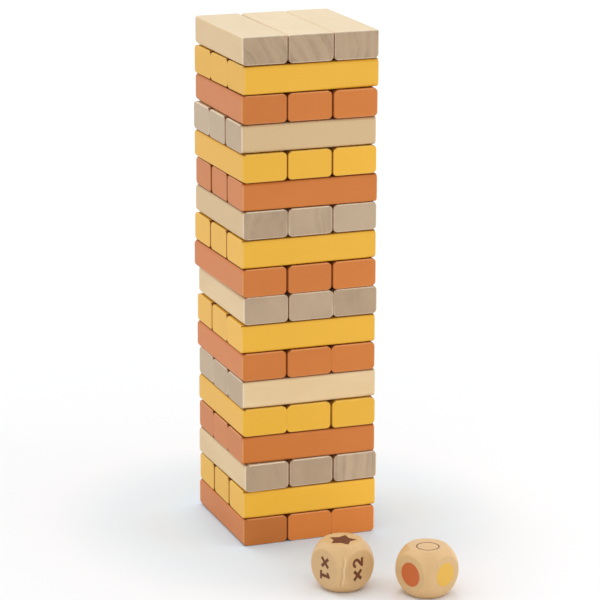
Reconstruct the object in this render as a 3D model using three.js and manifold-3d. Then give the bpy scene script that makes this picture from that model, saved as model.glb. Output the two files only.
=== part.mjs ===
// A tumbling tower game: eighteen courses of three wooden blocks, and two wooden dice on the floor in
// front of it. Millimetres, +Z up. X runs along the front of the tower, Y goes to the back, and the
// origin is the middle of the tower's base.
import * as THREE from "three";
import { mergeVertices } from "three/addons/utils/BufferGeometryUtils.js";
import Module from "manifold-3d";

const wasm = await Module();
wasm.setup();

// One block.
const BLOCK_LENGTH = 75;
const BLOCK_WIDTH = 24.8;
const BLOCK_HEIGHT = 15;
const LONG_EDGE_RADIUS = 2;
const END_EASE = 0.4; // the small chamfer around each sawn end
const ARC_SEGMENTS = 2; // a shape splits each arc into twice this many flats

// The stack.
const COURSE_GAP = 0.3;
const COURSE_PITCH = BLOCK_HEIGHT + COURSE_GAP;
const PLACES_ACROSS = ["left", "middle", "right"]; // blocks that run front to back
const PLACES_DEEP = ["front", "middle", "back"]; // blocks that run side to side

// Each course from the floor up: which way its blocks run, the gap between them, how far the course
// sits off the tower's middle in X and Y, its twist about the vertical in degrees, and how far each
// of its blocks stands out of line along its own length.
const DEEP = "front_to_back";
const WIDE = "side_to_side";
const COURSES = [
  { run: DEEP, gap: 0.3, x: 0, y: 0, twist: 0, pulls: [0, 0, 0] },
  { run: WIDE, gap: 0.3, x: 0.3, y: -0.3, twist: -0.5, pulls: [0.2, 0, -0.25] },
  { run: DEEP, gap: 0.6, x: 0.4, y: -0.2, twist: 0.8, pulls: [-0.3, 0.2, 0.05] },
  { run: WIDE, gap: 0.3, x: -0.2, y: -0.2, twist: -0.5, pulls: [0.1, 0.1, 0.1] },
  { run: DEEP, gap: 0.3, x: -0.2, y: -0.2, twist: -0.3, pulls: [0.05, 0.2, -0.3] },
  { run: WIDE, gap: 0.3, x: 0.1, y: 0.3, twist: -0.2, pulls: [0, 0, 0.2] },
  { run: DEEP, gap: 0.3, x: -0.6, y: 0, twist: 0.2, pulls: [0.3, -0.25, 0] },
  { run: WIDE, gap: 0.3, x: -0.4, y: 0, twist: -0.1, pulls: [-0.1, -0.1, -0.2] },
  { run: DEEP, gap: 0.4, x: 0.6, y: 0.6, twist: 0.1, pulls: [-0.15, -0.15, 0.3] },
  { run: DEEP, gap: 0.5, x: -1.2, y: 0, twist: 1.5, pulls: [0.3, -0.1, -0.2] },
  { run: WIDE, gap: 0.4, x: -1, y: 0.1, twist: 1.2, pulls: [0.05, 0, -0.15] },
  { run: DEEP, gap: 0.4, x: -0.4, y: 0.6, twist: 1, pulls: [0.05, -0.25, 0.25] },
  { run: WIDE, gap: 0.3, x: -0.4, y: 0, twist: 0.4, pulls: [0.2, 0.1, -0.3] },
  { run: DEEP, gap: 0.4, x: -1.2, y: -0.2, twist: 1.2, pulls: [-0.3, 0.15, 0.1] },
  { run: WIDE, gap: 0.3, x: -1.3, y: 0.5, twist: 0.9, pulls: [0.2, -0.1, -0.1] },
  { run: DEEP, gap: 0.4, x: -0.6, y: 0, twist: 0.4, pulls: [0, 0.25, -0.3] },
  { run: WIDE, gap: 0.3, x: -0.5, y: 0.1, twist: 1.9, pulls: [0, 0, 0] },
  { run: DEEP, gap: 0.3, x: 0.1, y: 0, twist: 0.6, pulls: [0.3, -0.2, -0.05] },
];

// The blocks of the top course also lie a little askew: each one's own turn in degrees, and how far
// that moves its middle across.
const TOP_TURNS = [0.1, -0.6, -0.6];
const TOP_SHIFTS = [-0.5, 0, 0.1];

// Finishes repeat in threes from the floor up.
const FINISHES = [
  { name: "orange", color: "#cf7540", roughness: 0.55 },
  { name: "yellow", color: "#e9b444", roughness: 0.55 },
  { name: "natural", color: "#e6cfa8", roughness: 0.7 },
];

// The dice are cubes rounded by a sphere about the same middle.
const DIE_SIDE = 25.5;
const DIE_ROUND_RADIUS = 16.2;
const DIE_SEGMENTS = [36, 24];
const DIE_FINISH = { color: "#dab587", roughness: 0.6 };
const DICE = [
  { name: "action_die", x: -8.6, y: -109.5, turn: 21.3 },
  { name: "colour_die", x: 28.9, y: -132.1, turn: 24 },
];

function material({ color, roughness }) {
  return new THREE.MeshStandardMaterial({ color, roughness, metalness: 0 });
}

function roundedRectangle(width, height, radius) {
  const right = width / 2 - radius;
  const top = height / 2 - radius;
  const shape = new THREE.Shape();
  shape.absarc(right, top, radius, 0, Math.PI / 2);
  shape.absarc(-right, top, radius, Math.PI / 2, Math.PI);
  shape.absarc(-right, -top, radius, Math.PI, 1.5 * Math.PI);
  shape.absarc(right, -top, radius, 1.5 * Math.PI, 2 * Math.PI);
  return shape;
}

// A block about its own middle, with its length along X.
function blockGeometry() {
  const section = roundedRectangle(BLOCK_WIDTH, BLOCK_HEIGHT, LONG_EDGE_RADIUS);
  const depth = BLOCK_LENGTH - 2 * END_EASE;
  const geometry = new THREE.ExtrudeGeometry(section, {
    depth,
    curveSegments: ARC_SEGMENTS,
    bevelEnabled: true,
    bevelSegments: 1,
    bevelThickness: END_EASE,
    bevelSize: END_EASE,
    bevelOffset: -END_EASE,
  });
  geometry.translate(0, 0, -depth / 2);
  geometry.rotateX(Math.PI / 2); // the section stands up, and the length lies along Y
  geometry.rotateZ(Math.PI / 2);
  return geometry;
}

function makeCourse({ run, gap, x, y, twist, pulls }, index) {
  const finish = FINISHES[index % FINISHES.length];
  const places = run === DEEP ? PLACES_ACROSS : PLACES_DEEP;
  const top = index === COURSES.length - 1;
  const group = new THREE.Group();
  group.position.set(x, y, BLOCK_HEIGHT / 2 + index * COURSE_PITCH);
  group.rotation.z = THREE.MathUtils.degToRad(twist);
  places.forEach((place, i) => {
    const block = new THREE.Mesh(blockGeometry(), material(finish));
    const across = (i - 1) * (BLOCK_WIDTH + gap) + (top ? TOP_SHIFTS[i] : 0);
    const turn = THREE.MathUtils.degToRad(top ? TOP_TURNS[i] : 0);
    if (run === DEEP) {
      block.position.set(across, pulls[i], 0);
      block.rotation.z = Math.PI / 2 + turn;
    } else {
      block.position.set(pulls[i], across, 0);
      block.rotation.z = turn;
    }
    const number = String(index + 1).padStart(2, "0");
    block.name = `${finish.name}_block_${number}_${place}`;
    group.add(block);
  });
  return group;
}

function solidOf(geometry) {
  geometry.deleteAttribute("normal");
  geometry.deleteAttribute("uv");
  const merged = mergeVertices(geometry);
  return new wasm.Manifold(
    new wasm.Mesh({
      numProp: 3,
      vertProperties: merged.attributes.position.array,
      triVerts: new Uint32Array(merged.index.array),
    }),
  );
}

function geometryOf(solid) {
  const { vertProperties, triVerts } = solid.getMesh();
  const geometry = new THREE.BufferGeometry();
  geometry.setAttribute("position", new THREE.BufferAttribute(vertProperties, 3));
  geometry.setIndex(new THREE.BufferAttribute(triVerts, 1));
  geometry.computeVertexNormals();
  return geometry;
}

function makeDie({ name, x, y, turn }) {
  const cube = solidOf(new THREE.BoxGeometry(DIE_SIDE, DIE_SIDE, DIE_SIDE));
  const ball = solidOf(new THREE.SphereGeometry(DIE_ROUND_RADIUS, ...DIE_SEGMENTS));
  const die = new THREE.Mesh(geometryOf(cube.intersect(ball)), material(DIE_FINISH));
  die.position.set(x, y, DIE_SIDE / 2);
  die.rotation.z = THREE.MathUtils.degToRad(turn);
  die.name = name;
  return die;
}

const tower = new THREE.Group();
COURSES.forEach((course, index) => tower.add(makeCourse(course, index)));
DICE.forEach((die) => tower.add(makeDie(die)));

export default tower;
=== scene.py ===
import math
import random

import bpy
from mathutils import Matrix, Vector, noise


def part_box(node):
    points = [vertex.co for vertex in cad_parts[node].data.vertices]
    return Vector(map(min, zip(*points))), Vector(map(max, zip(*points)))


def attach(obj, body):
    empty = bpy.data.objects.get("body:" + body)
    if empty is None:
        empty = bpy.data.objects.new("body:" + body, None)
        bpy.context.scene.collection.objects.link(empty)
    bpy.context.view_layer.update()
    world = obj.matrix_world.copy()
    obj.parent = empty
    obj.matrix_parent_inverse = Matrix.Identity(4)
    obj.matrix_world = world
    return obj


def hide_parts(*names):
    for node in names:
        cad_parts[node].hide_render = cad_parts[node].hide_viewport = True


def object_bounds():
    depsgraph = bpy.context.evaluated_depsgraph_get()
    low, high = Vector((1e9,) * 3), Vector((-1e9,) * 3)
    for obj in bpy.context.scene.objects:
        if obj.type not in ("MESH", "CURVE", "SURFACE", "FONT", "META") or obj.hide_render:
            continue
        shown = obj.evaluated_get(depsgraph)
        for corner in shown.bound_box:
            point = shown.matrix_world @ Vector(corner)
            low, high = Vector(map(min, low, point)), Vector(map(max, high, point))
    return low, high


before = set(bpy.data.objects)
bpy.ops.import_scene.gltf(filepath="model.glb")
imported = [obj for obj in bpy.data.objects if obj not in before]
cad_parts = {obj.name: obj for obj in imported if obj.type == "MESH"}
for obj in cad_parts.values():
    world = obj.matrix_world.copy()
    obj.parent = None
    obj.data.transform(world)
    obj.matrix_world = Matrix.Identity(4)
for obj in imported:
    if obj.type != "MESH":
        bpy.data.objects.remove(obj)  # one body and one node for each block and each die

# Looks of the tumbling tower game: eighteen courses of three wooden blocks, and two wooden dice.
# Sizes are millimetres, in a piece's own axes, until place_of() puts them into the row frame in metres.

MM = 0.001
CAD_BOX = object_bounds()
SEED = 1815

# A block, in its own axes: X along its length, Y across, Z up.
BLOCK = Vector((75.0, 24.8, 15.0))
LONG_EDGE_RADIUS = 1.95
TOP_EDGE_RADIUS = 1.2  # the upper edges of the top course
LONG_EDGE_UNEVEN = 0.25  # how much hand sanding varies those radii
CORNER_EXTRA = 0.5  # how much the long edges' radius grows towards the ends
CORNER_REACH = 6.0  # the length over which it grows
END_EASE = 0.55
CORNER_STEPS = 6
EASE_STEPS = 4
BODY_STEPS = 12

# Where two blocks of a course are pressed together, so that only a hairline shows between them.
# A course's seams are numbered from the right, or from the front: 0, then 1.
TIGHT_SEAMS = {
    17: (0, 1), 15: (1,), 12: (1,), 9: (0,), 8: (0,),
    7: (0,), 6: (0, 1), 5: (1,), 4: (0, 1), 1: (0,),
}
PLACE_IN_COURSE = {"right": 0, "front": 0, "middle": 1, "left": 2, "back": 2}
TIGHT_SWELL = 0.12  # how much further out such a side stands
TIGHT_EASE = 0.2  # of the usual easing of the ends
APART, BESIDE, PRESSED = 0.0, 0.25, 1.0  # how a block's side meets the next block of its course

# How dark the painted shade in a seam is: by steps down a rounding from the upper or lower flat, by
# steps in from the end face, and by steps in from there at the corners where four blocks meet.
ROUNDING_SEAM_SHADE = {1: 1.0, 2: 0.6}
END_SEAM_SHADE = {1: 0.4, 2: 0.9, 3: 1.0}
NOTCH_SEAM_SHADE = {2: 0.5, 3: 0.9, 4: 1.0}
LOWER_EDGE_SEAM_SHADE = 0.7  # of that, along the lower edge of an end
PAINTED_SEAM_SHADE_AMOUNT = 0.92

# Blocks that are darker (below 0) or paler than the rest: along their sides, and at their ends. Partly
# the wood's or paint's own tone, partly painted light and shade: ends darker towards the left of some
# painted courses and paler towards the right, and a painted sheen on the natural ends of courses 6 and
# 15.
TONES_AND_PAINTED_LIGHT = {
    "natural_block_18_left": (-0.3, -0.15), "natural_block_18_middle": (0.2, -0.1),
    "natural_block_18_right": (0.1, 0.0), "natural_block_15_front": (-0.8, 0.8),
    "natural_block_15_middle": (0.0, 1.1), "natural_block_15_back": (0.0, 1.3),
    "natural_block_12_left": (-0.7, -0.2), "natural_block_12_middle": (0.0, 0.3),
    "natural_block_12_right": (0.0, 0.75), "natural_block_09_left": (0.1, 0.3),
    "natural_block_09_middle": (0.1, 0.35), "natural_block_09_right": (0.0, -0.05),
    "natural_block_06_front": (0.8, 0.7), "natural_block_06_middle": (0.0, 0.9),
    "natural_block_06_back": (0.0, 1.2), "natural_block_03_left": (0.1, 0.1),
    "natural_block_03_middle": (0.1, -0.1), "natural_block_03_right": (0.0, 0.3),
    "orange_block_01_left": (2.2, -0.95), "orange_block_01_middle": (0.0, 0.5),
    "orange_block_01_right": (0.0, 0.6), "orange_block_07_left": (2.2, -0.3),
    "orange_block_07_right": (0.0, 0.25), "orange_block_10_right": (0.0, 0.2),
    "orange_block_10_left": (1.6, -0.3), "yellow_block_02_front": (1.8, 0.0),
    "yellow_block_14_left": (-1.0, 0.0), "orange_block_16_left": (0.0, -0.3),
    "orange_block_16_right": (0.0, 0.2), "yellow_block_08_front": (0.8, 0.0),
    "yellow_block_17_front": (0.0, -0.3), "yellow_block_17_middle": (0.0, -0.3),
    "yellow_block_17_back": (0.0, -0.3),
}

# How far the middle of a natural block lay from the heart of its log, on which side, in degrees from
# the block's own Y towards Z, and how plainly its ends show the rings. The other blocks are drawn at
# random, and hardly show theirs.
HEARTS = {
    "natural_block_18_left": (44, 148, 1.0), "natural_block_18_middle": (31, 152, 1.0),
    "natural_block_18_right": (52, 176, 1.0), "natural_block_12_left": (38, 12, 0.7),
    "natural_block_12_middle": (48, -6, 0.5), "natural_block_03_right": (60, 5, 1.0),
}

FAINT_FIGURE = 0.12

# A die: a cube rounded by a ball about the same middle.
DIE_SIDE = 25.5
DIE_BALL = 16.2
DIE_SHARPNESS = 70  # how crisply the flats meet the ball
DIE_STEPS = 60

# The marks on the dice.
MARK_PROUD = 0.04
MARK_DEPTH = 0.3
STAR_RADIUS = 7.5
STAR_INNER = 0.6
ORANGE_DOT_RADIUS = 6.3
YELLOW_DOT_RADIUS = 6.2
RING_OUTER = 6.0
RING_LINE = 0.6
GLYPH_SPACING = 3.3
GLYPH_RISE = {"one": 0.7, "two": 1.1}
STAR_SHIFT = (-1.0, 1.1)
RING_SHIFT = (-1.8, 1.5)
ORANGE_DOT_SHIFT = (0.0, 0.5)

# Colours. A pair is the usual colour and its darker one.
NATURAL_SIDE = (0.77, 0.572, 0.318, 1), (0.67, 0.463, 0.23, 1)
NATURAL_SIDE_DARK = (0.60, 0.41, 0.205, 1)
# The upper sides' paler colour: a painted highlight from the light above.
NATURAL_TOP_PAINTED_HIGHLIGHT = (0.80, 0.67, 0.46, 1)
NATURAL_END = (0.52, 0.37, 0.23, 1), (0.335, 0.232, 0.145, 1)
# Paler end grain: partly the wood's own tone, partly a painted sheen.
NATURAL_END_PALE_AND_SHEEN = (0.60, 0.47, 0.325, 1)
# Pale edges: partly wear, partly a painted highlight where the roundings catch the light.
NATURAL_EDGE_WEAR_AND_HIGHLIGHT = (0.92, 0.80, 0.63, 1)
DIE_WOOD = (0.74, 0.485, 0.225, 1), (0.615, 0.37, 0.16, 1)
DIE_LINES = (0.92, 0.72, 0.45, 1), (0.40, 0.24, 0.11, 1)
# The brown of the painted shade in the seams.
PAINTED_SEAM_SHADE_COLOUR = (0.19, 0.035, 0.002, 1)

# A coat of paint: its pair of colours, and the pale one of its edges, partly wear and partly a painted
# highlight.
COATS = {
    "yellow": ((0.81, 0.435, 0.031, 1), (0.76, 0.395, 0.026, 1), (0.88, 0.58, 0.14, 1)),
    "orange": ((0.60, 0.178, 0.026, 1), (0.535, 0.147, 0.021, 1), (0.84, 0.43, 0.18, 1)),
}

# An ink: its pair of colours, and its roughness.
INKS = {
    "brown": ((0.17, 0.042, 0.005, 1), (0.11, 0.025, 0.003, 1), 0.6),
    "orange": ((0.60, 0.13, 0.02, 1), (0.53, 0.105, 0.015, 1), 0.5),
    "yellow": ((0.78, 0.45, 0.055, 1), (0.73, 0.41, 0.045, 1), 0.5),
}

# The floor, and the painted shadow round the tower, darker and bluer inwards: each zone's colour holds
# within the first distance, fading out at the second.
FLOOR_SIZE = 15.0
FLOOR_DROP = 0.05 * MM
FLOOR_COLOUR = (0.90, 0.885, 0.87, 1)
FLOOR_PAINTED_SHADOW = (
    (0.25, 0.6, (0.855, 0.845, 0.835, 1)),
    (0.08, 0.14, (0.755, 0.785, 0.795, 1)),
    (0.045, 0.075, (0.72, 0.82, 0.88, 1)),
)

# The camera stands where the tower's top, its left side and its front all show.
CAMERA_AIM = Vector((7.1, -2.6, 123.9)) * MM
CAMERA_DISTANCE = 1478 * MM
CAMERA_AZIMUTH = -20.21
CAMERA_ELEVATION = 14.96
CAMERA_ROLL = 0.16
CAMERA_LENS = 164.1

# A white tent all round, one very soft lamp high up behind, and in front on the right a strip lamp
# and a small low one.
TENT_LIGHT = 0.93
TENT_COLOUR = (0.985, 1.0, 1.02, 1)
BACK_LIGHT_FROM = (-0.15, 0.5, 1.0)
BACK_LIGHT_COLOUR = (0.95, 1.0, 1.06)
BACK_LIGHT_POWER = 0.9
BACK_LIGHT_SPREAD = 55
STRIP_AT = Vector((0.29, -0.26, 0.17))
STRIP_SIZE = (0.12, 0.34)
STRIP_POWER = 0.18
STRIP_SPREAD = 180
LOW_LAMP_AT = Vector((0.35, -0.40, 0.02))
LOW_LAMP_SIZE = (0.06, 0.03)
LOW_LAMP_POWER = 0.004
LOW_LAMP_SPREAD = 18


# ---------------------------------------------------------------- places from the frame


def faces_along(node, direction):
    """The CAD node's faces that look along a direction, within about 40 degrees."""
    return [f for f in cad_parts[node].data.polygons if f.normal.dot(direction) > 0.75]


def turn_of(node, direction):
    """How far a piece is turned about the vertical, from its flat face nearest that direction."""
    normal = max(faces_along(node, direction), key=lambda face: face.area).normal
    return math.atan2(normal.y, normal.x)


def place_of(node, direction):
    """The matrix from a piece's own millimetres to the row frame."""
    low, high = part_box(node)
    turn = Matrix.Rotation(turn_of(node, direction), 4, "Z")
    return Matrix.Translation((low + high) / 2) @ turn @ Matrix.Scale(MM, 4)


def block_direction(node):
    low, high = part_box(node)
    deep = high.y - low.y > high.x - low.x
    return Vector((0, 1, 0)) if deep else Vector((1, 0, 0))


# ---------------------------------------------------------------- meshes


def store(mesh, name, kind, values):
    """Keeps a value for each vertex, which the materials read."""
    attribute = mesh.attributes.new(name, kind, "POINT")
    if kind == "FLOAT":
        attribute.data.foreach_set("value", values)
    else:
        attribute.data.foreach_set("vector", [number for value in values for number in value])


def make_piece(name, place, points, faces, normals=None):
    """A mesh in the row frame that remembers where each point lies in the piece's own axes."""
    mesh = bpy.data.meshes.new(name)
    mesh.from_pydata([place @ point for point in points], [], faces)
    mesh.update()
    mesh.shade_smooth()
    if normals:
        turn = place.to_3x3().normalized()
        mesh.normals_split_custom_set_from_vertices([turn @ normal for normal in normals])
    store(mesh, "local", "FLOAT_VECTOR", points)
    piece = bpy.data.objects.new(name, mesh)
    bpy.context.scene.collection.objects.link(piece)
    return piece


def grow(piece, points, shift, tone, end_tone=0.0):
    """Says where the piece was sawn from the log, and how pale or dark that log was; on some blocks
    that tone also holds painted light and shade.
    """
    log = [point + shift for point in points]
    store(piece.data, "log", "FLOAT_VECTOR", log)
    store(piece.data, "tone", "FLOAT", [tone] * len(points))
    store(piece.data, "end_tone", "FLOAT", [end_tone] * len(points))


def finish_piece(piece, body, material, stands_for=None):
    piece.data.materials.append(material)
    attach(piece, body)
    if stands_for:
        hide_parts(stands_for)


def edge_radius(block, corner, along):
    """The rounding of a long edge at one place on it."""
    uneven = LONG_EDGE_UNEVEN * noise.noise(Vector((along / 22, corner * 7.3, block["seed"])))
    if block["on_top"] and corner < 2:
        return TOP_EDGE_RADIUS + uneven
    near_end = max(0.0, 1 - (BLOCK.x / 2 - abs(along)) / CORNER_REACH)
    return LONG_EDGE_RADIUS + CORNER_EXTRA * near_end + uneven


def block_stations():
    """(place along the block, inset, lean of the normals towards that end), end to end."""
    half = BLOCK.x / 2
    end = []
    for step in range(EASE_STEPS + 1):
        lean = math.pi / 2 * (1 - step / EASE_STEPS)
        end.append((half - END_EASE * (1 - math.sin(lean)), END_EASE * (1 - math.cos(lean)), lean))
    body = half - END_EASE
    middle = [(body * (1 - 2 * step / BODY_STEPS), 0, 0) for step in range(1, BODY_STEPS)]
    far = [(-along, inset, -lean) for along, inset, lean in reversed(end)]
    return end + middle + far


def section_places():
    """(corner, its side across, its side up, steps from the flat, angle) round a section."""
    for corner, (side_y, side_z) in enumerate(((1, 1), (-1, 1), (-1, -1), (1, -1))):
        for step in range(CORNER_STEPS + 1):
            from_flat = step if corner % 2 else CORNER_STEPS - step
            yield corner, side_y, side_z, from_flat, math.pi / 2 * (corner + step / CORNER_STEPS)


def easing_undone(along, out_y):
    """How far a point on a pressed side moves towards the end, as that side is hardly eased."""
    drop = BLOCK.x / 2 - abs(along)
    if drop > END_EASE + 0.01:
        return 0
    return math.copysign(drop * (1 - TIGHT_EASE) * out_y**2, along)


def block_section(block, along, inset, lean):
    """One ring of points round a block, with their normals."""
    points, normals = [], []
    for corner, side_y, side_z, _, angle in section_places():
        tight = block["beside"][side_y] == PRESSED
        radius = edge_radius(block, corner, along)
        half_width = BLOCK.y / 2 + (TIGHT_SWELL if tight else 0)
        inset_y = inset * (TIGHT_EASE if tight else 1)
        out_y, out_z = math.cos(angle), math.sin(angle)
        x = along + (easing_undone(along, out_y) if tight else 0)
        y = side_y * (half_width - radius) + (radius - inset_y) * out_y
        z = side_z * (BLOCK.z / 2 - radius) + (radius - inset) * out_z
        points.append(Vector((x, y, z)))
        normals.append(Vector((math.sin(lean), math.cos(lean) * out_y, math.cos(lean) * out_z)))
    return points, normals


def painted_seam_shades(block, stations):
    """How much painted shade each point of a block gets for lying in a seam, from 0 to 1."""
    shades = []
    for number, (_, _, lean) in enumerate(stations):
        steps_in = min(number, len(stations) - 1 - number)
        at_end, at_notch = END_SEAM_SHADE.get(steps_in, 0.0), NOTCH_SEAM_SHADE.get(steps_in, 0.0)
        for corner, side_y, side_z, from_flat, _ in section_places():
            neighbour = block["beside"][side_y]
            covered = 0.0 if block["on_top"] and corner < 2 else 1.0
            along = covered * ROUNDING_SEAM_SHADE.get(from_flat, 0.0) * math.cos(lean)
            below = LOWER_EDGE_SEAM_SHADE * (side_z < 0) * (from_flat < 2)
            side = (neighbour == BESIDE) * (from_flat > CORNER_STEPS - 2)
            notch = covered * (neighbour != APART) * (0 < from_flat < CORNER_STEPS)
            shades.append(max(along, at_end * max(below, side), at_notch * notch))
    return shades


def nearness(block, stations):
    """Each point's APART, BESIDE or PRESSED, fading to APART round the corners of the section."""
    ring = [
        block["beside"][side_y] * max(0, from_flat / CORNER_STEPS * 2 - 1)
        for _, side_y, _, from_flat, _ in section_places()
    ]
    return ring * len(stations)


def block_geometry(block, stations):
    points, normals, faces = [], [], []
    for along, inset, lean in stations:
        ring, out = block_section(block, along, inset, lean)
        points += ring
        normals += out
    count = 4 * (CORNER_STEPS + 1)
    for row in range(len(stations) - 1):
        for i in range(count):
            a, b = row * count + i, row * count + (i + 1) % count
            faces.append((a, a + count, b + count, b))
    faces.append(tuple(range(count)))
    faces.append(tuple(reversed(range(len(points) - count, len(points)))))
    return points, normals, faces


def die_surface(direction):
    """Where a line from the middle of a die leaves it, and the surface's normal there."""
    unit = direction.normalized()
    reach = [abs(part) for part in unit]
    axis = reach.index(max(reach))
    flat, ball = reach[axis] / (DIE_SIDE / 2), 1 / DIE_BALL
    point = unit / (flat**DIE_SHARPNESS + ball**DIE_SHARPNESS) ** (1 / DIE_SHARPNESS)
    normal = unit * (point.length * ball) ** (DIE_SHARPNESS - 1) * ball
    face = (point.length * flat) ** (DIE_SHARPNESS - 1) / (DIE_SIDE / 2)
    normal[axis] += math.copysign(face, unit[axis])
    return point, normal.normalized()


def die_geometry():
    """A grid on each side of a cube, drawn in to the die's surface and joined at the edges."""
    points, normals, faces, known = [], [], [], {}

    def index(direction):
        key = tuple(round(part, 6) for part in direction.normalized())
        if key not in known:
            known[key] = len(points)
            point, normal = die_surface(direction)
            points.append(point)
            normals.append(normal)
        return known[key]

    steps = [math.tan(math.pi / 4 * (2 * i / DIE_STEPS - 1)) for i in range(DIE_STEPS + 1)]
    for axis in range(3):
        for side in (1, -1):
            grid = []
            for u in steps:
                row = []
                for v in steps:
                    direction = [0.0, 0.0, 0.0]
                    direction[axis] = side
                    direction[(axis + 1) % 3] = u * side
                    direction[(axis + 2) % 3] = v
                    row.append(index(Vector(direction)))
                grid.append(row)
            for i in range(DIE_STEPS):
                for j in range(DIE_STEPS):
                    faces.append((grid[i][j], grid[i + 1][j], grid[i + 1][j + 1], grid[i][j + 1]))
    return points, normals, faces


# ---------------------------------------------------------------- marks on the dice


def circle(radius, count=64):
    return [
        (radius * math.cos(2 * math.pi * i / count), radius * math.sin(2 * math.pi * i / count))
        for i in range(count)
    ]


def star():
    """Five points, one of them upwards."""
    outline = []
    for i in range(10):
        reach = STAR_RADIUS * (1 if i % 2 == 0 else STAR_INNER)
        angle = math.pi / 2 + math.pi * i / 5
        outline.append((reach * math.cos(angle), reach * math.sin(angle)))
    return outline


def cross():
    """A multiplication sign: a plus, turned an eighth."""
    reach, half = 3.5, 0.85
    plus = [
        (half, half), (half, reach), (-half, reach), (-half, half), (-reach, half), (-reach, -half),
        (-half, -half), (-half, -reach), (half, -reach), (half, -half), (reach, -half), (reach, half),
    ]
    c = math.sqrt(0.5)
    return [(c * (x - y), c * (x + y)) for x, y in plus]


def one():
    """The numeral one, with a foot."""
    return [
        (-2.3, -3.65), (2.3, -3.65), (2.3, -2.2), (0.9, -2.2), (0.9, 3.65), (-0.5, 3.65),
        (-2.1, 2.6), (-2.1, 1.1), (-0.85, 1.6), (-0.85, -2.2), (-2.3, -2.2),
    ]


def two():
    """The numeral two: a hook, a slanting stroke and a straight foot."""
    centre, outer, inner = 1.05, 2.5, 1.0
    angles = [math.radians(175 - 217 * i / 16) for i in range(17)]
    hook = [(outer * math.cos(a), centre + outer * math.sin(a)) for a in angles]
    foot = [(0.2, -2.1), (2.4, -2.1), (2.4, -3.6), (-2.4, -3.6), (-2.4, -2.4)]
    back = [(inner * math.cos(a), centre + inner * math.sin(a)) for a in reversed(angles)]
    return [*reversed(hook + foot + back)]


def shifted(outline, along, up=0.0):
    return [(x + along, y + up) for x, y in outline]


def face_matrix(right, up):
    """From a mark's own plane to the die's flat that has this right and this up."""
    right, up = Vector(right), Vector(up)
    out = right.cross(up)
    turn = Matrix((right, up, out)).transposed().to_4x4()
    return Matrix.Translation(out * DIE_SIDE / 2) @ turn


def flat_pairs():
    """The matrices of a die's top and bottom, left and right, and front and back."""
    sides = (1, -1)
    top_and_bottom = [face_matrix((0, side, 0), (-1, 0, 0)) for side in sides]
    left_and_right = [face_matrix((0, 0, -1), (0, -side, 0)) for side in sides]
    front_and_back = [face_matrix((0, 0, 1), (-side, 0, 0)) for side in sides]
    return top_and_bottom, left_and_right, front_and_back


def mark_geometry(outlines, matrices, hole=None):
    """Thin raised shapes on the flats. With a hole, each shape is a ring round it."""
    points, faces = [], []
    for matrix in matrices:
        for outline in outlines:
            start, count = len(points), len(outline)
            loops = [(outline, -MARK_DEPTH), (outline, MARK_PROUD)]
            if hole:
                loops += [(hole, MARK_PROUD), (hole, -MARK_DEPTH)]
            for loop, height in loops:
                points += [matrix @ Vector((x, y, height)) for x, y in loop]
            for row in range(len(loops) - 1):
                for i in range(count):
                    a = start + row * count + i
                    b = start + row * count + (i + 1) % count
                    faces.append((a, b, b + count, a + count))
            if not hole:
                faces.append(tuple(range(start + count, start + 2 * count)))
    return points, faces


# ---------------------------------------------------------------- materials


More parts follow.
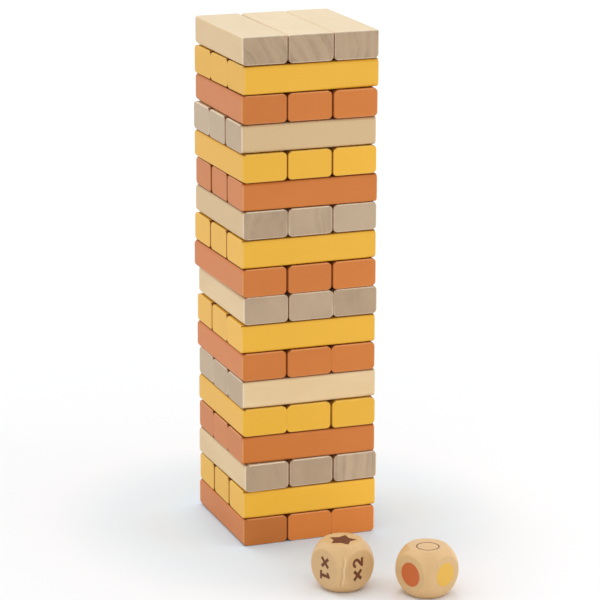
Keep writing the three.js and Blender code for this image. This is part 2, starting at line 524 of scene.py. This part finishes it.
class Graph:
    """The nodes of one material, written as plain expressions."""

    def __init__(self, name):
        self.material = bpy.data.materials.new(name)
        self.material.use_nodes = True
        self.tree = self.material.node_tree
        self.tree.nodes.clear()
        self.shader = self.tree.nodes.new("ShaderNodeBsdfPrincipled")
        output = self.tree.nodes.new("ShaderNodeOutputMaterial")
        self.tree.links.new(self.shader.outputs[0], output.inputs[0])

    def put(self, socket, value):
        if isinstance(value, bpy.types.NodeSocket):
            self.tree.links.new(value, socket)
        else:
            socket.default_value = value

    def add(self, kind, inputs, output=0, **settings):
        node = self.tree.nodes.new(kind)
        for key, value in settings.items():
            setattr(node, key, value)
        for key, value in inputs.items():
            self.put(node.inputs[key], value)
        return node.outputs[output]

    def attribute(self, name, output="Vector"):
        return self.add("ShaderNodeAttribute", {}, output, attribute_name=name)

    def math(self, operation, a, b=0.0, clamp=False):
        return self.add("ShaderNodeMath", {0: a, 1: b}, operation=operation, use_clamp=clamp)

    def times(self, a, b):
        return self.math("MULTIPLY", a, b)

    def plus(self, a, b):
        return self.math("ADD", a, b)

    def split(self, vector):
        node = self.tree.nodes.new("ShaderNodeSeparateXYZ")
        self.put(node.inputs[0], vector)
        return list(node.outputs)

    def stretch(self, vector, scale):
        return self.add("ShaderNodeVectorMath", {0: vector, 1: scale}, operation="MULTIPLY")

    def noise(self, vector, scale, detail=2.0, roughness=0.5):
        """A noise about zero, from about -0.5 to 0.5, at a separate scale for each axis."""
        inputs = {"Vector": self.stretch(vector, scale), "Scale": 1.0}
        inputs.update({"Detail": detail, "Roughness": roughness})
        return self.math("SUBTRACT", self.add("ShaderNodeTexNoise", inputs), 0.5)

    def step(self, value, low, high, start=0.0, end=1.0):
        """A smooth step from start to end as the value goes from low to high."""
        inputs = {"Value": value, "From Min": low, "From Max": high, "To Min": start, "To Max": end}
        return self.add("ShaderNodeMapRange", inputs, interpolation_type="SMOOTHSTEP")

    def mix(self, share, a, b):
        return self.add("ShaderNodeMix", {0: share, 6: a, 7: b}, 2, data_type="RGBA")

    def scaled(self, colour, amount):
        """A colour times a number."""
        grey = self.add("ShaderNodeCombineColor", {0: amount, 1: amount, 2: amount})
        inputs = {0: 1.0, 6: colour, 7: grey}
        return self.add("ShaderNodeMix", inputs, 2, data_type="RGBA", blend_type="MULTIPLY")

    def bump(self, height, distance, strength=1.0):
        """height is in millimetres for a distance of one."""
        inputs = {"Height": height, "Distance": distance * MM, "Strength": strength}
        return self.add("ShaderNodeBump", inputs)

    def surface(self, colour, roughness, normal, **fixed):
        self.put(self.shader.inputs["Base Color"], colour)
        self.put(self.shader.inputs["Roughness"], roughness)
        self.put(self.shader.inputs["Normal"], normal)
        for key, value in fixed.items():
            self.shader.inputs[key.replace("_", " ")].default_value = value
        return self.material


def growth_rings(g, log, spacing, wander):
    """Uneven bands round the heart of the log, from about -0.3 in pale wood to 0.3 in dark."""
    along, across, up = g.split(log)
    radius = g.math("SQRT", g.plus(g.times(across, across), g.times(up, up)))
    bend = g.times(g.noise(log, (0.015, 0.11, 0.11), 2.0), wander)
    place = g.add("ShaderNodeCombineXYZ", {0: g.plus(radius, bend), 1: along, 2: 0.0})
    return g.noise(place, (1 / spacing, 0.006, 0.0), 3.0, 0.6)


def edge_distances(g, local):
    """(from the nearer end, from the nearest edge) of a block, in millimetres, on its surface."""
    gaps = [
        g.math("SUBTRACT", size / 2, g.math("ABSOLUTE", part))
        for part, size in zip(g.split(local), BLOCK)
    ]
    least = g.math("MINIMUM", g.math("MINIMUM", gaps[0], gaps[1]), gaps[2])
    most = g.math("MAXIMUM", g.math("MAXIMUM", gaps[0], gaps[1]), gaps[2])
    total = g.plus(g.plus(gaps[0], gaps[1]), gaps[2])
    return gaps[0], g.math("SUBTRACT", g.math("SUBTRACT", total, least), most)


def paint_seam_shade(g, colour):
    """Painted brown shade down in the seams, where the blocks shadow each other."""
    return g.mix(g.times(g.attribute("seam", "Fac"), PAINTED_SEAM_SHADE_AMOUNT), colour, PAINTED_SEAM_SHADE_COLOUR)


def natural_sides(g, local, patches, fibres, pores):
    """Cream wood with a faint figure; the upper side is painted paler, a painted highlight from above.
    """
    tone = g.attribute("tone", "Fac")
    share = g.plus(g.times(fibres, 0.5), g.times(patches, 1.2))
    side = g.mix(g.math("ADD", share, 0.35, True), *NATURAL_SIDE)
    side = g.scaled(side, g.math("SUBTRACT", 1.0, g.times(pores, 0.06)))
    dark = g.math("MULTIPLY", tone, -1.0, True)
    side = g.mix(dark, side, NATURAL_SIDE_DARK)
    side = g.scaled(side, g.plus(1.0, g.times(g.plus(tone, dark), 0.05)))
    # The upper side is painted paler: a painted highlight.
    painted_top_highlight = g.step(g.split(local)[2], BLOCK.z / 2 - 0.3, BLOCK.z / 2 - 0.05)
    return g.mix(g.times(painted_top_highlight, 0.4), side, NATURAL_TOP_PAINTED_HIGHLIGHT)


def natural_ends(g, log, ring, patches):
    """Greyer end grain, with the rings showing where the block's figure is plain."""
    end_tone = g.attribute("end_tone", "Fac")
    fleck = g.noise(log, (1.5, 1.5, 1.5), 3.0)
    contrast = g.times(g.step(patches, -0.2, 0.15, 0.35, 1.0), g.attribute("figure", "Fac"))
    blotch = g.plus(g.times(patches, 0.7), g.times(fleck, 0.4))
    share = g.plus(g.times(g.times(ring, contrast), 2.6), blotch)
    end = g.mix(g.math("ADD", share, 0.5, True), *NATURAL_END)
    # Paler ends: partly the wood's own tone, partly a painted sheen.
    end = g.mix(g.math("MULTIPLY", end_tone, 0.5, True), end, NATURAL_END_PALE_AND_SHEEN)
    return g.scaled(end, g.plus(1.0, g.times(g.math("MINIMUM", end_tone, 0.0), 0.2)))


def natural_wood():
    """Unpainted sanded wood, its edges pale from wear and a painted highlight, except where pressed to
    another.
    """
    g = Graph("natural_wood_grain")
    local, log = g.attribute("local"), g.attribute("log")
    end_gap, edge = edge_distances(g, local)
    ring = growth_rings(g, log, 3.0, 5.0)
    patches = g.noise(log, (0.035, 0.08, 0.08), 2.0)
    fibres = g.noise(log, (0.03, 0.7, 0.7), 3.0, 0.6)
    pores = g.step(g.noise(log, (0.12, 2.2, 2.2), 2.0), 0.17, 0.3)

    side = natural_sides(g, local, patches, fibres, pores)
    is_end = g.step(end_gap, 0.02, 0.14, 1.0, 0.0)
    colour = g.mix(is_end, side, natural_ends(g, log, ring, patches))
    # Pale edges: partly wear, partly a painted highlight.
    wear_and_highlight = g.times(g.step(edge, 0.8, 0.3), g.step(fibres, -0.25, 0.2, 0.5, 1.0))
    wear_and_highlight = g.times(wear_and_highlight, g.step(g.attribute("beside", "Fac"), 0.3, 0.55, 1.0, 0.0))
    colour = paint_seam_shade(g, g.mix(g.times(wear_and_highlight, 0.65), colour, NATURAL_EDGE_WEAR_AND_HIGHLIGHT))

    roughness = g.plus(g.plus(0.5, g.times(fibres, 0.1)), g.times(is_end, 0.14))
    roughness = g.plus(roughness, g.times(g.attribute("seam", "Fac"), 0.4))
    grain = g.plus(g.times(fibres, 0.02), g.times(pores, -0.03))
    height = g.plus(g.times(g.times(ring, is_end), -0.05), grain)
    return g.surface(colour, roughness, g.bump(height, 1.0, 0.7), IOR=1.5)


def painted_wood(name, colour, shade, pale):
    """Satin paint, thin enough that the wood's grain shows through as faint lines."""
    g = Graph(name)
    local, log = g.attribute("local"), g.attribute("log")
    tone, end_tone = g.attribute("tone", "Fac"), g.attribute("end_tone", "Fac")
    end_gap, edge = edge_distances(g, local)
    patches = g.noise(log, (0.03, 0.06, 0.06), 2.0)
    fibres = g.noise(log, (0.03, 0.7, 0.7), 3.0, 0.6)
    peel = g.noise(log, (0.9, 1.1, 1.1), 2.0)

    depth = g.plus(g.times(fibres, 0.4), g.times(patches, 0.8))
    is_end = g.step(end_gap, 0.02, 0.3, 1.0, 0.0)
    # The ends are a little paler: painted light on them.
    depth = g.plus(depth, g.times(is_end, -0.1))
    coat = g.mix(g.math("ADD", depth, 0.25, True), colour, shade)
    # Pale edges: partly wear, partly a painted highlight.
    wear_and_highlight = g.times(g.step(edge, 0.8, 0.15), g.step(fibres, -0.3, 0.25, 0.6, 1.0))
    wear_and_highlight = g.times(wear_and_highlight, g.step(g.attribute("beside", "Fac"), APART, BESIDE, 1.0, 0.0))
    coat = g.mix(g.times(wear_and_highlight, 0.65), coat, pale)
    # The block's tones: partly the paint's own, partly painted light and shade.
    coat = g.scaled(coat, g.plus(1.0, g.times(tone, 0.03)))
    coat = g.scaled(coat, g.plus(1.0, g.times(g.times(end_tone, is_end), 0.2)))
    coat = paint_seam_shade(g, coat)

    roughness = g.plus(0.42, g.times(peel, 0.12))
    roughness = g.plus(roughness, g.times(g.attribute("seam", "Fac"), 0.5))
    height = g.plus(g.times(fibres, 0.012), g.times(peel, 0.006))
    return g.surface(coat, roughness, g.bump(height, 1.0, 0.8), IOR=1.42)


def wavy_band_lines(g, local, colour):
    """A wavy pale line, and a dark one beside it, down each upright band of one die."""
    across, deep, up = g.split(local)
    across, deep = g.math("ABSOLUTE", across), g.math("ABSOLUTE", deep)
    wave = g.times(g.noise(local, (0.0, 0.0, 0.16), 0.0), 3.0)
    slant = g.plus(g.times(up, 0.14), 2.2)
    off_ridge = g.plus(g.plus(g.math("SUBTRACT", across, deep), slant), wave)
    has_band_lines = g.attribute("end_tone", "Fac")
    on_band = g.times(g.step(g.math("ABSOLUTE", up), 9.0, 6.5), has_band_lines)
    pale_line = g.step(g.math("ABSOLUTE", off_ridge), 0.8, 0.1)
    dark_line = g.step(g.math("ABSOLUTE", g.plus(off_ridge, -1.6)), 1.2, 0.1)
    colour = g.mix(g.times(g.times(pale_line, on_band), 0.4), colour, DIE_LINES[0])
    return g.mix(g.times(g.times(dark_line, on_band), 0.35), colour, DIE_LINES[1])


def die_wood():
    """Waxed pale wood, with painted shade on the upright flats: a little darker than the lit bands."""
    g = Graph("die_wood_grain")
    local, log, tone = g.attribute("local"), g.attribute("log"), g.attribute("tone", "Fac")
    ring = growth_rings(g, log, 2.6, 4.0)
    patches = g.noise(log, (0.05, 0.09, 0.09), 2.0)
    fibres = g.noise(log, (0.08, 1.2, 1.2), 3.0, 0.6)
    pores = g.step(g.noise(log, (0.3, 2.8, 2.8), 2.0), 0.16, 0.26)
    share = g.plus(g.plus(g.times(ring, 0.5), g.times(fibres, 0.5)), g.times(patches, 0.8))
    colour = g.mix(g.math("ADD", share, 0.4, True), *DIE_WOOD)
    across, deep, _ = g.split(local)
    outermost = g.math("MAXIMUM", g.math("ABSOLUTE", across), g.math("ABSOLUTE", deep))
    # The upright flats get painted shade, a little darker than the bands.
    painted_shade_upright_flats = g.step(outermost, DIE_SIDE / 2 - 0.25, DIE_SIDE / 2 - 0.03)
    colour = g.scaled(colour, g.math("SUBTRACT", 1.0, g.times(painted_shade_upright_flats, 0.07)))
    colour = wavy_band_lines(g, local, colour)
    colour = g.scaled(colour, g.math("SUBTRACT", 1.0, g.times(pores, 0.12)))
    colour = g.scaled(colour, g.plus(1.0, g.times(tone, 0.06)))
    roughness = g.plus(0.42, g.times(fibres, 0.15))
    grain = g.plus(g.times(fibres, 0.02), g.times(pores, -0.04))
    height = g.plus(g.times(ring, -0.02), grain)
    return g.surface(colour, roughness, g.bump(height, 1.0, 0.7), IOR=1.5)


def mark_paint(name, colour, shade, roughness):
    """A printed mark: ink that sank unevenly into the grain."""
    g = Graph(name)
    local = g.attribute("local")
    grain = g.noise(local, (1.4, 0.25, 1.4), 3.0, 0.6)
    spots = g.noise(local, (2.4, 2.4, 2.4), 2.0)
    depth = g.plus(g.times(grain, 1.2), g.times(spots, 0.6))
    ink = g.mix(g.math("ADD", depth, 0.4, True), colour, shade)
    rough = g.plus(roughness, g.times(grain, 0.15))
    return g.surface(ink, rough, g.bump(g.times(grain, 0.02), 1.0, 0.6), IOR=1.5)


def floor_with_painted_shadow():
    """Pale matt paint, with painted shadow in zones about the tower's middle."""
    g = Graph("pale_floor_painted_shadow")
    place = g.add("ShaderNodeTexCoord", {}, "Object")
    cloud = g.noise(place, (3.0, 3.0, 3.0), 2.0)
    distance = g.add("ShaderNodeVectorMath", {0: place}, "Value", operation="LENGTH")
    distance = g.plus(distance, g.times(cloud, 0.02))
    colour = FLOOR_COLOUR
    # Each zone is painted shadow round the tower.
    for near, far, inner in FLOOR_PAINTED_SHADOW:
        colour = g.mix(g.step(distance, near, far, 1.0, 0.0), colour, inner)
    return g.surface(colour, 0.9, g.bump(cloud, 0.01), Specular_IOR_Level=0.1)


# ---------------------------------------------------------------- the object


def meeting(seam, tight):
    """What lies past one side of a block: seams 0 and 1 are the only ones in a course."""
    if seam not in (0, 1):
        return APART
    return PRESSED if seam in tight else BESIDE


def make_block(node, material):
    course, name = node.split("_")[-2:]
    tight = TIGHT_SEAMS.get(int(course), ())
    place_in_course = PLACE_IN_COURSE[name]
    block = {
        "seed": random.randint(0, 9999) * 0.37,
        "beside": {-1: meeting(place_in_course - 1, tight), 1: meeting(place_in_course, tight)},
        "on_top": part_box(node)[1].z > CAD_BOX[1][2] - BLOCK.z / 2 * MM,
    }
    stations = block_stations()
    points, normals, faces = block_geometry(block, stations)
    place = place_of(node, block_direction(node))
    piece = make_piece(node + "_timber", place, points, faces, normals)
    # How deep each point lies in the painted shade of the seams.
    store(piece.data, "seam", "FLOAT", painted_seam_shades(block, stations))
    store(piece.data, "beside", "FLOAT", nearness(block, stations))
    reach, angle = random.uniform(26, 70), random.uniform(-35, 35) + random.choice((0, 180))
    reach, angle, figure = HEARTS.get(node, (reach, angle, FAINT_FIGURE))
    store(piece.data, "figure", "FLOAT", [figure] * len(points))
    across, up = reach * math.cos(math.radians(angle)), reach * math.sin(math.radians(angle))
    shift = Vector((random.uniform(-400, 400), across, up))
    usual = (random.uniform(-0.15, 0.3), random.uniform(-0.1, 0.1))
    grow(piece, points, shift, *TONES_AND_PAINTED_LIGHT.get(node, usual))
    finish_piece(piece, node, material, node)


def make_tower():
    materials = {"natural": natural_wood()}
    for finish, coat in COATS.items():
        materials[finish] = painted_wood(finish + "_satin_paint", *coat)
    for node in sorted(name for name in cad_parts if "_block_" in name):
        finish = node.split("_")[0]
        make_block(node, materials[finish])


def make_die(node, tone, band_lines, material):
    points, normals, faces = die_geometry()
    place = place_of(node, Vector((1, 0, 0)))
    piece = make_piece(node + "_wood", place, points, faces, normals)
    turned = [Vector((point.y, point.x, point.z)) for point in points]
    grow(piece, turned, Vector((random.uniform(-300, 300), 24, -9)), tone, band_lines)
    finish_piece(piece, node, material, node)
    return place


def add_mark(node, name, place, material, outlines, matrices, hole=None):
    points, faces = mark_geometry(outlines, matrices, hole)
    piece = make_piece(f"{node}_{name}", place, points, faces)
    piece.data.shade_flat()
    finish_piece(piece, node, material)


def make_dice():
    wood = die_wood()
    brown, orange, yellow = [mark_paint(name + "_ink", *ink) for name, ink in INKS.items()]
    top_and_bottom, left_and_right, front_and_back = flat_pairs()

    node = "action_die"
    place = make_die(node, 0.3, 1.0, wood)
    outlines = [shifted(star(), *STAR_SHIFT)]
    add_mark(node, "stars", place, brown, outlines, top_and_bottom)
    rise = GLYPH_RISE["one"]
    outlines = [shifted(cross(), 0.1 - GLYPH_SPACING, rise), shifted(one(), 0.6 + GLYPH_SPACING, rise)]
    add_mark(node, "times_one", place, brown, outlines, left_and_right)
    rise = GLYPH_RISE["two"]
    outlines = [shifted(cross(), 0.3 - GLYPH_SPACING, rise), shifted(two(), 0.3 + GLYPH_SPACING, rise)]
    add_mark(node, "times_two", place, brown, outlines, front_and_back)

    node = "colour_die"
    place = make_die(node, 0.6, 0.0, wood)
    hole = shifted(circle(RING_OUTER - RING_LINE), *RING_SHIFT)
    outlines = [shifted(circle(RING_OUTER), *RING_SHIFT)]
    add_mark(node, "rings", place, brown, outlines, top_and_bottom, hole)
    outlines = [shifted(circle(ORANGE_DOT_RADIUS), *ORANGE_DOT_SHIFT)]
    add_mark(node, "orange_dots", place, orange, outlines, left_and_right)
    outlines = [circle(YELLOW_DOT_RADIUS)]
    add_mark(node, "yellow_dots", place, yellow, outlines, front_and_back)


# ---------------------------------------------------------------- the studio


def make_camera():
    azimuth, elevation = math.radians(CAMERA_AZIMUTH), math.radians(CAMERA_ELEVATION)
    right = Vector((math.cos(azimuth), math.sin(azimuth), 0))
    back = Vector((math.sin(azimuth), -math.cos(azimuth), 0)) * math.cos(elevation)
    back.z = math.sin(elevation)
    turn = Matrix((right, back.cross(right), back)).transposed().to_4x4()
    roll = Matrix.Rotation(math.radians(CAMERA_ROLL), 4, "Z")
    data = bpy.data.cameras.new("camera")
    data.lens = CAMERA_LENS
    data.clip_start, data.clip_end = 0.05, 60
    camera = bpy.data.objects.new("camera", data)
    camera.matrix_world = Matrix.Translation(CAMERA_AIM + back * CAMERA_DISTANCE) @ turn @ roll
    bpy.context.scene.collection.objects.link(camera)
    bpy.context.scene.camera = camera


def add_sun(name, direction, colour, power, spread):
    """A very soft lamp, far off in one direction."""
    data = bpy.data.lights.new(name, "SUN")
    data.angle = math.radians(spread)
    data.color = colour
    data.energy = power
    lamp = bpy.data.objects.new(name, data)
    lamp.rotation_mode = "QUATERNION"
    lamp.rotation_quaternion = Vector(direction).to_track_quat("Z", "Y")
    bpy.context.scene.collection.objects.link(lamp)


def add_panel(name, position, size, power, spread):
    """An upright lamp that faces the middle of the tower, and that no camera sees."""
    data = bpy.data.lights.new(name, "AREA")
    data.shape = "RECTANGLE"
    data.size, data.size_y = size
    data.energy = power
    data.spread = math.radians(spread)
    towards = CAMERA_AIM - position
    towards.z = 0
    lamp = bpy.data.objects.new(name, data)
    lamp.location = position
    lamp.rotation_mode = "QUATERNION"
    lamp.rotation_quaternion = towards.to_track_quat("-Z", "Y")
    lamp.visible_camera = False
    bpy.context.scene.collection.objects.link(lamp)


def make_floor():
    turns = ((-1, -1), (1, -1), (1, 1), (-1, 1))
    corners = [(x * FLOOR_SIZE, y * FLOOR_SIZE, -FLOOR_DROP) for x, y in turns]
    mesh = bpy.data.meshes.new("floor")
    mesh.from_pydata(corners, [], [(0, 1, 2, 3)])
    mesh.materials.append(floor_with_painted_shadow())
    floor = bpy.data.objects.new("floor", mesh)
    bpy.context.scene.collection.objects.link(floor)


def make_studio():
    world = bpy.data.worlds.new("white_tent")
    world.use_nodes = True
    background = world.node_tree.nodes["Background"]
    background.inputs["Color"].default_value = TENT_COLOUR
    background.inputs["Strength"].default_value = TENT_LIGHT
    bpy.context.scene.world = world
    bpy.context.scene.view_settings.view_transform = "Standard"
    add_sun("back_light", BACK_LIGHT_FROM, BACK_LIGHT_COLOUR, BACK_LIGHT_POWER, BACK_LIGHT_SPREAD)
    add_panel("strip_light", STRIP_AT, STRIP_SIZE, STRIP_POWER, STRIP_SPREAD)
    add_panel("low_light", LOW_LAMP_AT, LOW_LAMP_SIZE, LOW_LAMP_POWER, LOW_LAMP_SPREAD)
    make_floor()


random.seed(SEED)
make_camera()
make_tower()
make_dice()
make_studio()
